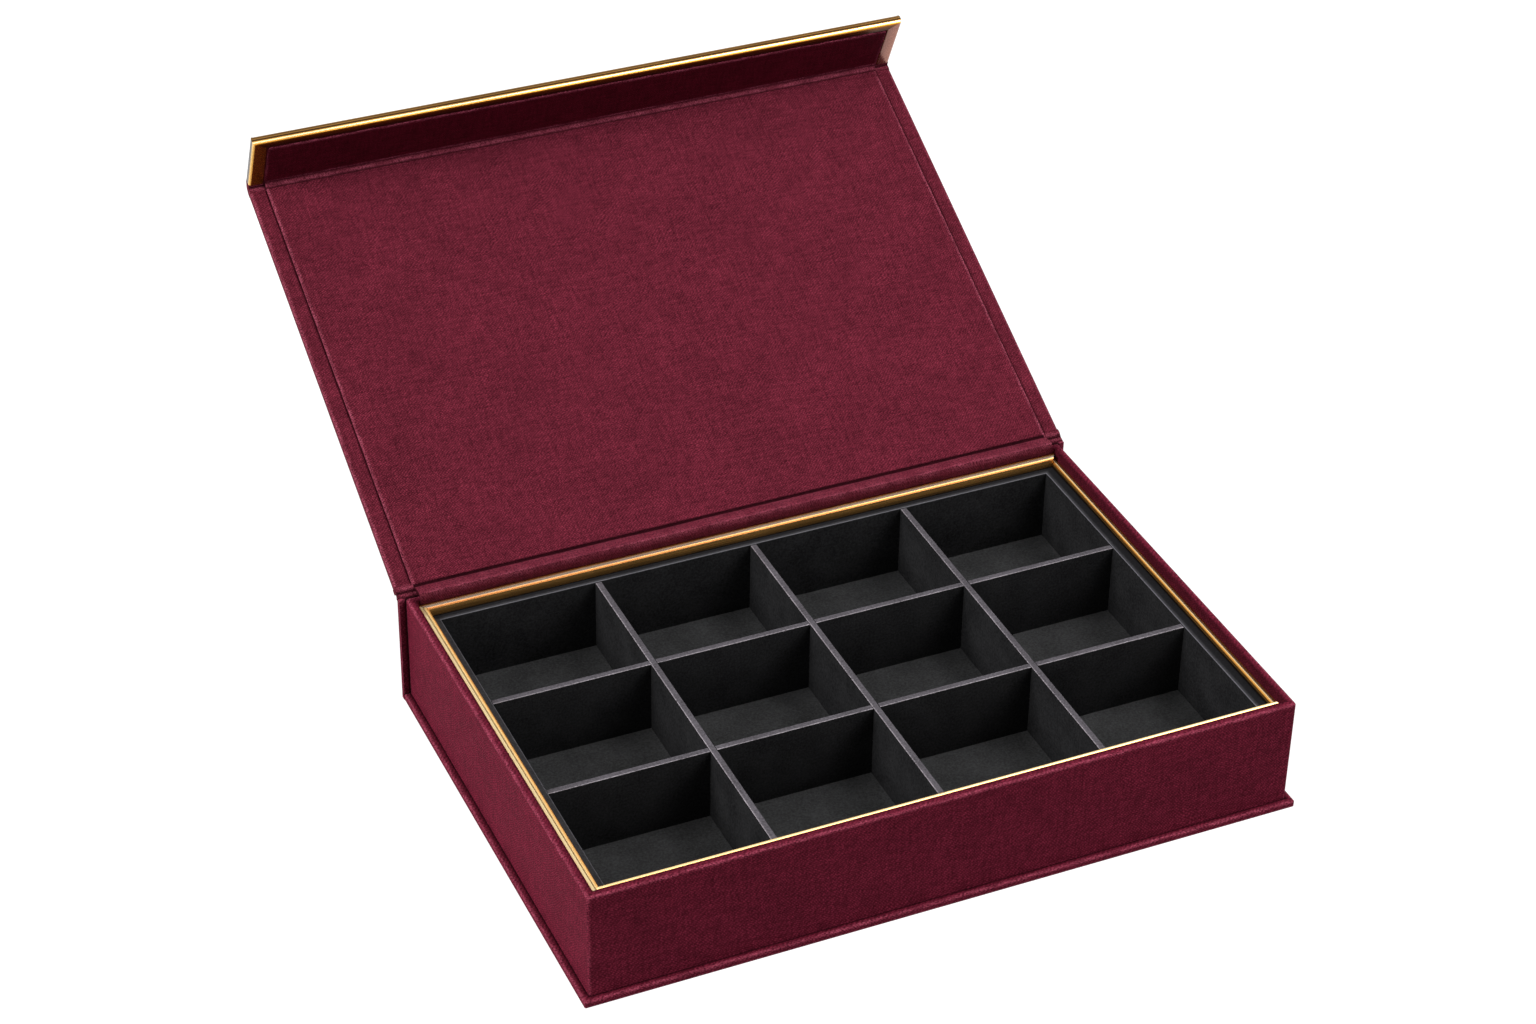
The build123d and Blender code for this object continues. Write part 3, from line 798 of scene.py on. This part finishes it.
# %% Drawn metal
# Streaks in a metre, across the strip and along it. Real drawing lines are finer still, but
# would not show.
STREAK_SCALE = (2600.0, 25.0)
STREAKS_TOP = 0.04  # how much the drawing lines change the colour where it is polished
STREAKS_SIDE = 0.22  # and where it is left as drawn
TARNISH_SCALE = 45.0  # cloudy spots in a metre
LINE_DEPTH = 0.02  # mm
WORN_FADE = (0.75, 1.25)  # lines and tarnish together, where the wear starts and is full
# The same fade also sets where the darker side colour, painted shade, gives way to the top's.
POLISH_AND_SHADE_FADE = (0.15, 0.45)  # how far a face looks up, where the polish starts and is full
METAL_SHARE = 0.78  # the rest is the lacquer's own warm body


def bands(tree, place, stops):
    """Colours that follow a place in mm, from pairs of a place and a hex colour."""
    first, last = stops[0][0], stops[-1][0]
    share = add_node(tree, "ShaderNodeMapRange", {0: place, 1: first, 2: last})
    ramp = add_node(tree, "ShaderNodeValToRGB", {0: share})
    stored = ramp.color_ramp.elements
    for number, (spot, shade) in enumerate(stops):
        spot = (spot - first) / (last - first)
        stop = stored[number] if number < 2 else stored.new(spot)
        stop.position = spot
        stop.color = linear(shade)
    return ramp.outputs["Color"]


def draw_metal(tree, shader, coords, colour, on_top, along, roughness=0.2, metal=METAL_SHARE):
    """Finishes a strip of metal: fine drawing lines, and a lacquer that is worn in places.

    on_top is 1 where the strip is polished and 0 where it is left as drawn. along is 0, 1 or
    2 for a strip that runs along X, Y or Z, as its drawing lines do.
    """
    squeeze = [STREAK_SCALE[0]] * 3
    squeeze[along] = STREAK_SCALE[1]
    streaks = add_node(
        tree, "ShaderNodeMapping", {"Vector": coords.outputs["Object"], "Scale": squeeze}
    )
    lines, tarnish = (
        add_node(
            tree, "ShaderNodeTexNoise", {"Vector": place, "Scale": scale, "Detail": 3.0}
        ).outputs["Fac"]
        for place, scale in ((streaks, 1.0), (coords.outputs["Object"], TARNISH_SCALE))
    )
    worn = add_node(tree, "ShaderNodeMath", {0: lines, 1: tarnish}, operation="ADD")
    streaky = add_node(tree, "ShaderNodeMapRange", {0: on_top, 3: STREAKS_SIDE, 4: STREAKS_TOP})
    worn = add_node(
        tree, "ShaderNodeMapRange", {0: worn, 1: WORN_FADE[0], 2: WORN_FADE[1], 3: -1.0, 4: 1.0}
    )
    worn = add_node(tree, "ShaderNodeMath", {0: worn, 1: streaky, 2: 1.0}, operation="MULTIPLY_ADD")
    colour = add_node(tree, "ShaderNodeVectorMath", {0: colour, "Scale": worn}, operation="SCALE")
    rough = add_node(
        tree, "ShaderNodeMapRange", {0: lines, 1: 0.3, 2: 0.7, 3: roughness, 4: roughness + 0.1}
    )
    bump = add_node(
        tree, "ShaderNodeBump", {"Height": lines, "Strength": 0.15, "Distance": LINE_DEPTH * MM}
    )
    feed(shader, {"Base Color": colour, "Metallic": metal, "Roughness": rough, "Normal": bump})


def drawn_strip(name, top, sides, along, wall=None, roughness=0.2, metal=METAL_SHARE):
    """A strip of metal, drawn and lacquered: polished on top, and darker on its sides.

    top is one colour or, where wall is given, bands of colour from that distance in mm from
    the middle of the box inwards: painted reflections and highlights. sides is one colour or
    bands that follow the height in mm, darker than top: painted shade.
    """
    material, tree, shader = new_material(name)
    coords = add_node(tree, "ShaderNodeTexCoord")
    if wall:
        spot = add_node(
            tree, "ShaderNodeVectorMath", {0: in_mm(tree, coords)}, operation="ABSOLUTE"
        )
        spot = add_node(tree, "ShaderNodeSeparateXYZ", {0: spot})
        inwards = add_node(
            tree, "ShaderNodeMath", {0: wall, 1: spot.outputs[1 - along]}, operation="SUBTRACT"
        )
        top, sides = bands(tree, inwards, top), bands(tree, spot.outputs[2], sides)
    else:
        top, sides = linear(top), linear(sides)
    upward = add_node(tree, "ShaderNodeSeparateXYZ", {0: coords.outputs["Normal"]}).outputs[2]
    on_top = add_node(
        tree, "ShaderNodeMapRange", {0: upward, 1: POLISH_AND_SHADE_FADE[0], 2: POLISH_AND_SHADE_FADE[1]},
        interpolation_type="SMOOTHSTEP",
    )
    # Painted shade: upright faces take the darker side colour, level ones the top's.
    colour = add_node(
        tree, "ShaderNodeMix", {0: on_top, 6: sides, 7: top}, data_type="RGBA"
    ).outputs[2]
    draw_metal(tree, shader, coords, colour, on_top, along, roughness, metal)
    return material


# %% [markdown]
# ## The frame round the insert
# Four lengths of beaded brass strip meet in mitres round the insert. In the photograph each of
# them reflects another part of the studio, and one colour for all would look like plastic. So
# each length has painted reflections of its own, bands of colour from the tray's wall inwards,
# and its inner face has painted shade, darker towards the bottom.

# %% The frame round the insert
# Painted shade and reflection of the dark insert: the inner faces darken towards the bottom.
FRAME_SIDE_SHADE = [(32.9, "7A5830"), (34.3, "A87C42"), (35.6, "D6A460")]  # height in mm, colour
REAR_WALL = 71.6  # mm from the middle, where the front and rear lengths begin
SIDE_WALL = 107.6  # mm from the middle, where the side lengths begin
# Each rail's bands are painted reflections and highlights of the studio.
RAILS = {
    # rail: (runs along, distance of the wall, metal's share, bands from the wall inwards)
    "front": (0, REAR_WALL, METAL_SHARE,
              [(1.4, "B8752C"), (1.75, "E6A458"), (2.0, "FFE2A6"), (2.5, "FFDE9C"),
               (2.75, "E09A48"), (3.0, "A8641C")]),
    "back": (0, REAR_WALL, METAL_SHARE,
             [(0.0, "A85A18"), (0.7, "E08A40"), (1.1, "FFE4C0"), (2.3, "FFF0DC"),
              (2.6, "DC9858"), (2.85, "B06C34"), (3.0, "8A5424")]),
    "left": (1, SIDE_WALL, 0.5,
             [(0.2, "8A4E18"), (0.6, "F8C078"), (1.1, "FFE8B4"), (1.7, "FFE0A0"),
              (2.2, "FCC474"), (2.75, "E09C48"), (3.0, "A8682C")]),
    "right": (1, SIDE_WALL, METAL_SHARE,
              [(0.0, "8A4A14"), (0.3, "C0802C"), (0.6, "FFE2A8"), (0.95, "FFF2D4"),
               (1.3, "FFE2A8"), (1.6, "E0A048"), (1.9, "B07428")]),
}
for rail, (along, wall, metal, top) in RAILS.items():
    finish_with(
        drawn_strip(f"drawn_brass_{rail}", top, FRAME_SIDE_SHADE, along, wall, metal=metal),
        f"frame_{rail}",
    )

# %% [markdown]
# ## The flap's edging
# A second brass strip is folded over the flap's three free edges. Its thin rim catches the
# light as two bright lines with a dark one between them, and its inner return lies in the
# flap's own shadow, brighter at the edge. The strip is thin, so these painted highlights and
# this painted shade are bands of colour measured from the flap's edges, in the flap's own
# swung box, and its outer face is one plain brass.

# %% The flap's edging
EDGING_OUTSIDE = "D8A650"
EDGING_HALF = (112.1, 0, 11.3)  # mm from the flap's middle to the edging's outer faces
RETURN_FACING = 0.6  # how far a face looks in or out of the flap, where it is a return


def edging_brass(name, along, rim, inside):
    """Brass folded over the flap's edge, with painted shade where the flap's own shadow falls.

    rim holds bands of colour across the flap's edge, in mm from the middle of the board
    towards its inner face: painted highlights and dark lines. inside holds those of the inner
    return, in mm from that edge: painted shade and painted reflection.
    """
    material, tree, shader = new_material(name)
    coords = add_node(tree, "ShaderNodeTexCoord")
    spot = in_mm(tree, coords, centre_of("flap_cloth"), FLAP_TURN)
    facing = facing_of(tree, coords, FLAP_TURN)
    inwards = add_node(tree, "ShaderNodeSeparateXYZ", {0: facing}).outputs[1]
    across = add_node(tree, "ShaderNodeSeparateXYZ", {0: spot}).outputs[1]
    from_edge = under_faces(tree, spot, EDGING_HALF)[2 if along == 0 else 0]
    on_inside = add_node(
        tree, "ShaderNodeMath", {0: inwards, 1: RETURN_FACING}, operation="GREATER_THAN"
    )
    on_outside = add_node(
        tree, "ShaderNodeMath", {0: inwards, 1: -RETURN_FACING}, operation="LESS_THAN"
    )
    colour = add_node(
        tree, "ShaderNodeMix",
        {0: on_inside, 6: bands(tree, across, rim), 7: bands(tree, from_edge, inside)},
        data_type="RGBA",
    ).outputs[2]
    colour = add_node(
        tree, "ShaderNodeMix", {0: on_outside, 6: colour, 7: linear(EDGING_OUTSIDE)},
        data_type="RGBA",
    ).outputs[2]
    draw_metal(tree, shader, coords, colour, on_outside, along)
    return material


# Rims: painted highlights and dark lines; returns: painted shade and reflection of the cloth.
LONG_RIM_LIGHT_AND_SHADE = [(-1.6, "B08850"), (-1.3, "4A3012"), (-1.0, "946C34"), (-0.6, "4A3012"),
            (-0.3, "9A7036"), (0.0, "3A220A"), (0.25, "241404"), (0.45, "8A5A20"),
            (0.7, "F0B860"), (1.0, "FFE8B8"), (1.3, "E8A44C"), (1.5, "8A5418"), (1.6, "6A3C10")]
END_RIM_LIGHT_AND_SHADE = [(-1.6, "B8B0A8"), (-1.2, "3A2E28"), (0.4, "241A14"), (0.7, "7A5420"),
           (1.1, "F8CC80"), (1.6, "F0BC60")]
EDGINGS = {
    # length: (runs along, bands of the rim, bands of the inner return)
    "long": (0, LONG_RIM_LIGHT_AND_SHADE, [(0.0, "E8A848"), (0.5, "B87820"), (1.1, "6A3C10"), (3.0, "34180A")]),
    "left": (2, END_RIM_LIGHT_AND_SHADE, [(0.0, "F4CC80"), (0.5, "D89C40"), (0.8, "90581A"), (4.6, "7A4810")]),
    "right": (2, END_RIM_LIGHT_AND_SHADE, [(0.0, "E8B860"), (0.4, "A07060"), (4.2, "825A50"), (4.6, "5A3828")]),
}
for length, (along, rim, inside) in EDGINGS.items():
    finish_with(
        edging_brass(f"drawn_brass_edging_{length}", along, rim, inside),
        f"flap_edging_{length}",
    )

# %% [markdown]
# ## Card
# The insert is folded from black-dyed card, which is really a dark warm grey: matte, with a
# cloud of short fibres and a felt-like tooth. Where it was cut or rubbed, a pale line shows,
# partly that wear and partly painted highlight, and where a rail or the rear corner shades it,
# painted shade makes it nearly black. Such lines could be modelled as narrow faces, but they are
# only tints, so the material draws them at their distances from the middle of the box. They lie
# on the level faces alone, not on the upright ones.

# %% Card
EDGE_LIGHT = 0.45  # mm, width of the paler line along a cut edge
# The pale line along each divider's near edge is partly rubbed card and partly painted highlight.
RUBBED_CARD_AND_HIGHLIGHT = "B4ACB2"
RUBBED_AND_HIGHLIGHT_MOST = 1.3  # above 1, so that the line stays clear where the card is dark
DIVIDER_HALF = 1.0  # mm
GRIT_SCALE = 1500.0  # specks in a metre; real fibres are finer, but would not show
CARD_CLOUD_SCALE = 90.0  # clouds in a metre
CARD_TOOTH = 0.06  # mm, how far the fibres stand up


def tinted(tree, colour, tint, share, level):
    """A colour with a share of a tint over it, on level faces only."""
    share = add_node(tree, "ShaderNodeMath", {0: share, 1: level}, operation="MULTIPLY")
    return add_node(
        tree, "ShaderNodeMix", {0: share, 6: colour, 7: tint}, data_type="RGBA"
    ).outputs[2]


def dyed_card(name, sides, top, lines=(), worn=None):
    """Card dyed in the pulp: matte, with a cloud of short fibres and a felt-like tooth.

    Its upright faces are in shades of sides, and its level ones of top; where sides is darker,
    that is painted shade. Each of the lines holds the middle and the half sizes in mm of an
    outline, how wide its tint comes in beyond it, from how much to how much, and the tint:
    painted shade for the dark lines, and for the pale one partly wear and partly painted
    highlight. worn holds the axis across a divider, the distance between dividers and where one
    stands, for the pale line along its near edge, partly rubbed card and partly painted highlight.
    """
    material, tree, shader = new_material(name)
    coords = add_node(tree, "ShaderNodeTexCoord")
    grit, cloud = (
        add_node(
            tree, "ShaderNodeTexNoise",
            {"Vector": coords.outputs["Object"], "Scale": scale, "Detail": 3.0,
             "Roughness": roughness},
        ).outputs["Fac"]
        for scale, roughness in ((GRIT_SCALE, 0.65), (CARD_CLOUD_SCALE, 0.5))
    )
    tone = add_node(tree, "ShaderNodeMath", {0: cloud, 1: 0.5, 2: grit}, operation="MULTIPLY_ADD")
    tone = add_node(tree, "ShaderNodeMapRange", {0: tone, 1: 0.5, 2: 1.0})
    upward = add_node(tree, "ShaderNodeSeparateXYZ", {0: coords.outputs["Normal"]}).outputs[2]
    level = add_node(tree, "ShaderNodeMath", {0: upward, 1: SQUARELY}, operation="GREATER_THAN")
    # Painted shade: upright faces take the darker shades, level faces the paler ones.
    upright_shade, level_shade = (
        add_node(
            tree, "ShaderNodeMix", {0: tone, 6: linear(dark), 7: linear(pale)}, data_type="RGBA"
        ).outputs[2]
        for dark, pale in (sides, top)
    )
    colour = add_node(
        tree, "ShaderNodeMix", {0: level, 6: upright_shade, 7: level_shade}, data_type="RGBA"
    ).outputs[2]
    place = in_mm(tree, coords)
    # Each outline adds a tint on the level faces: the painted shade and the pale edge line.
    for middle, half, width, start, end, tint in lines:
        from_middle = add_node(
            tree, "ShaderNodeVectorMath", {0: place, 1: middle}, operation="SUBTRACT"
        )
        share = add_node(
            tree, "ShaderNodeMapRange",
            {0: outside_of(tree, from_middle, half), 1: 0.0, 2: width, 3: start, 4: end},
        )
        colour = tinted(tree, colour, linear(tint), share, level)
    # The pale line along each divider's near top edge: partly rubbed, partly painted highlight.
    if worn:
        axis, pitch, first = worn
        across = add_node(tree, "ShaderNodeSeparateXYZ", {0: place}).outputs[axis]
        across = add_node(tree, "ShaderNodeMath", {0: across, 1: first}, operation="SUBTRACT")
        across = add_node(
            tree, "ShaderNodeMath", {0: across, 1: pitch / 2, 2: -pitch / 2}, operation="WRAP"
        )
        share = add_node(
            tree, "ShaderNodeMapRange",
            {0: across, 1: EDGE_LIGHT - DIVIDER_HALF, 2: -DIVIDER_HALF, 3: 0.0, 4: RUBBED_AND_HIGHLIGHT_MOST},
        )
        share = add_node(tree, "ShaderNodeMath", {0: share, 1: tone}, operation="MULTIPLY")
        colour = tinted(tree, colour, linear(RUBBED_CARD_AND_HIGHLIGHT), share, level)
    bump = add_node(
        tree, "ShaderNodeBump", {"Height": grit, "Strength": 0.6, "Distance": CARD_TOOTH * MM}
    )
    feed(shader, {
        "Base Color": colour, "Normal": bump, "Roughness": 0.85, "Specular IOR Level": 0.02,
    })
    return material


# %% [markdown]
# ## The insert and the hidden boards
# The insert's walls, floor and dividers are of one card, but the light leaves them in different
# greys, and these are painted into the colour: the upright faces get darker shades than the
# level ones, and the tops of the dividers are the palest. Under the cloth and the card are
# greyboard, a paper lining and nickel-plated steel. They hardly ever show, yet every piece has
# a finish of its own, because the parts may be looked at one by one.

# %% Finish the insert and the hidden boards
# Upright faces get darker shades than level ones: painted shade. Each pair is dark and pale fibres.
CARD_SIDES_IN_SHADE = ("141415", "2A2A2B")  # dark and pale fibres
RIM_TOP = ("343437", "4A4A4D")
FLOOR_TOP = ("303030", "49494A")
DIVIDER_TOP = ("403D40", "68646A")
LINING_TOP = ("303032", "3A3A3C")
GREYBOARD = ("6E6A64", "8A857C")
DEEP_PITCH, WIDE_PITCH = 51.4, 44.53  # mm between the dividers from front to back and across

# outlines: (middle, half sizes, width, how much of the tint at its start and end, tint)
# Pale line along the rim's cut edge: partly wear, partly painted highlight.
CUT_EDGE_AND_HIGHLIGHT = ((0, 0, 0), (101.8, 65.8, 0), EDGE_LIGHT, 0.6, 0.0, "86848C")
# Painted shadow under the frame, and painted shade in the rear corner.
FRAME_SHADOW = ((0.75, 0, 0), (104.3, 68.0, 0), 0.3, 0.0, 0.96, "050505")
REAR_SHADE = ((-10, -10, 0), (112.2, 76.2, 0), 1.0, 0.1, 0.85, "121214")


def named(*starts):
    """The names of the CAD nodes that start with any of these."""
    return [name for name in nodes if name.startswith(starts)]


finish_with(
    dyed_card("dyed_card_walls", CARD_SIDES_IN_SHADE, RIM_TOP, (REAR_SHADE, CUT_EDGE_AND_HIGHLIGHT, FRAME_SHADOW)),
    *named("insert_wall"))
finish_with(dyed_card("dyed_card_floor", CARD_SIDES_IN_SHADE, FLOOR_TOP), "insert_floor")
finish_with(dyed_card("dyed_card_deep", CARD_SIDES_IN_SHADE, DIVIDER_TOP, worn=(0, DEEP_PITCH, 0.0)),
            *named("divider_deep"))
finish_with(dyed_card("dyed_card_wide", CARD_SIDES_IN_SHADE, DIVIDER_TOP, worn=(1, WIDE_PITCH, 22.27)),
            *named("divider_wide"))
# Black-dyed lining paper: smoother to the eye than card, because its two shades are closer.
finish_with(dyed_card("dyed_paper_lining", CARD_SIDES_IN_SHADE, LINING_TOP), "tray_floor_lining")
# Greyboard, pressed from waste paper: matte and speckled.
finish_with(dyed_card("greyboard_core", GREYBOARD, GREYBOARD), "tray_floor",
            *[name for name in nodes if name.endswith("_board")], *named("tray_wall"))
# Steel with dull nickel plating: a pale, slightly warm grey with a soft shine, and a shade
# darker on its sides, which is painted shade.
finish_with(drawn_strip("nickel_plate", "D8D4CC", "C8C4BC", 0, roughness=0.3),
            *named("magnet", "catch_plate"))
